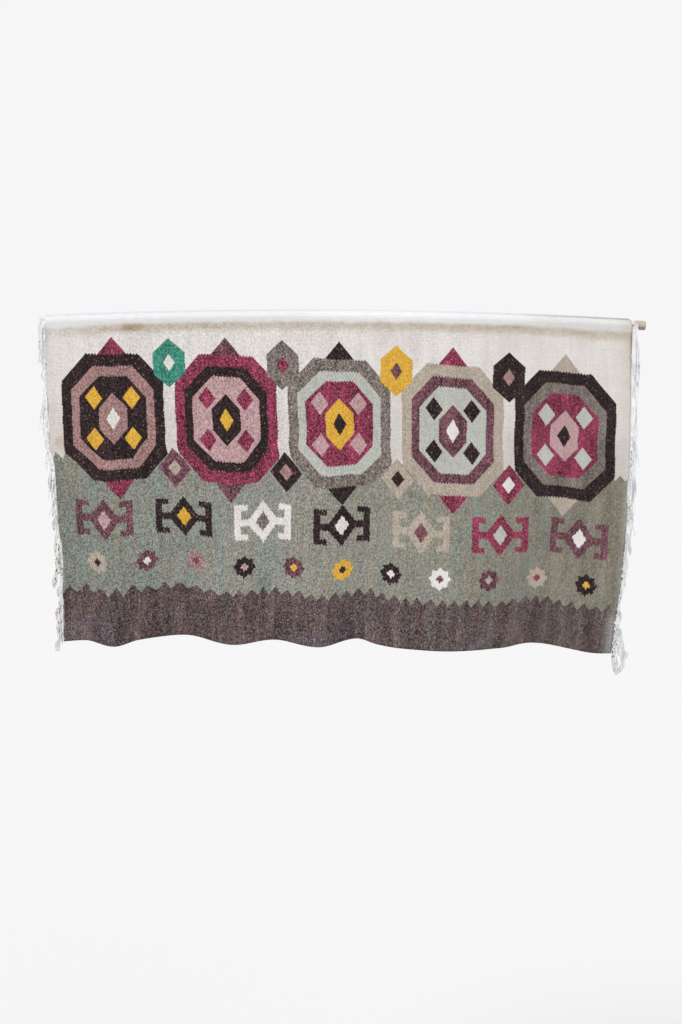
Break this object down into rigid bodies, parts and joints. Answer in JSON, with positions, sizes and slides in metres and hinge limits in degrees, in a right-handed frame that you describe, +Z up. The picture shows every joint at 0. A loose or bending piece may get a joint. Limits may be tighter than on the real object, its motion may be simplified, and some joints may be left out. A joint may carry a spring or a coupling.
{
  "type": "woven kilim wall hanging on a wooden rod",
  "caption": "Flatwoven kilim hung from a sewn sleeve over a wooden dowel, softly ruffled towards its lower selvedge, with knotted warp fringes hanging down both sides.",
  "frame": {"origin": "on the rod's axis above the middle of the cloth, where the hanging is held up", "axes": "+X along the rod to the viewer's right, +Z up, the front faces -Y"},
  "size_m": [1.2456, 0.0413, 0.7536],
  "materials": {
    "kilim_weave": "matt weft-faced wool",
    "rod_wood": "plain sanded dowel",
    "fringe_cotton": "matt twisted cotton"
  },
  "bodies": {
    "root": {"cloth": "kilim_weave", "rod": "rod_wood", "fringe_left": "fringe_cotton", "fringe_right": "fringe_cotton"}
  },
  "joints": []
}
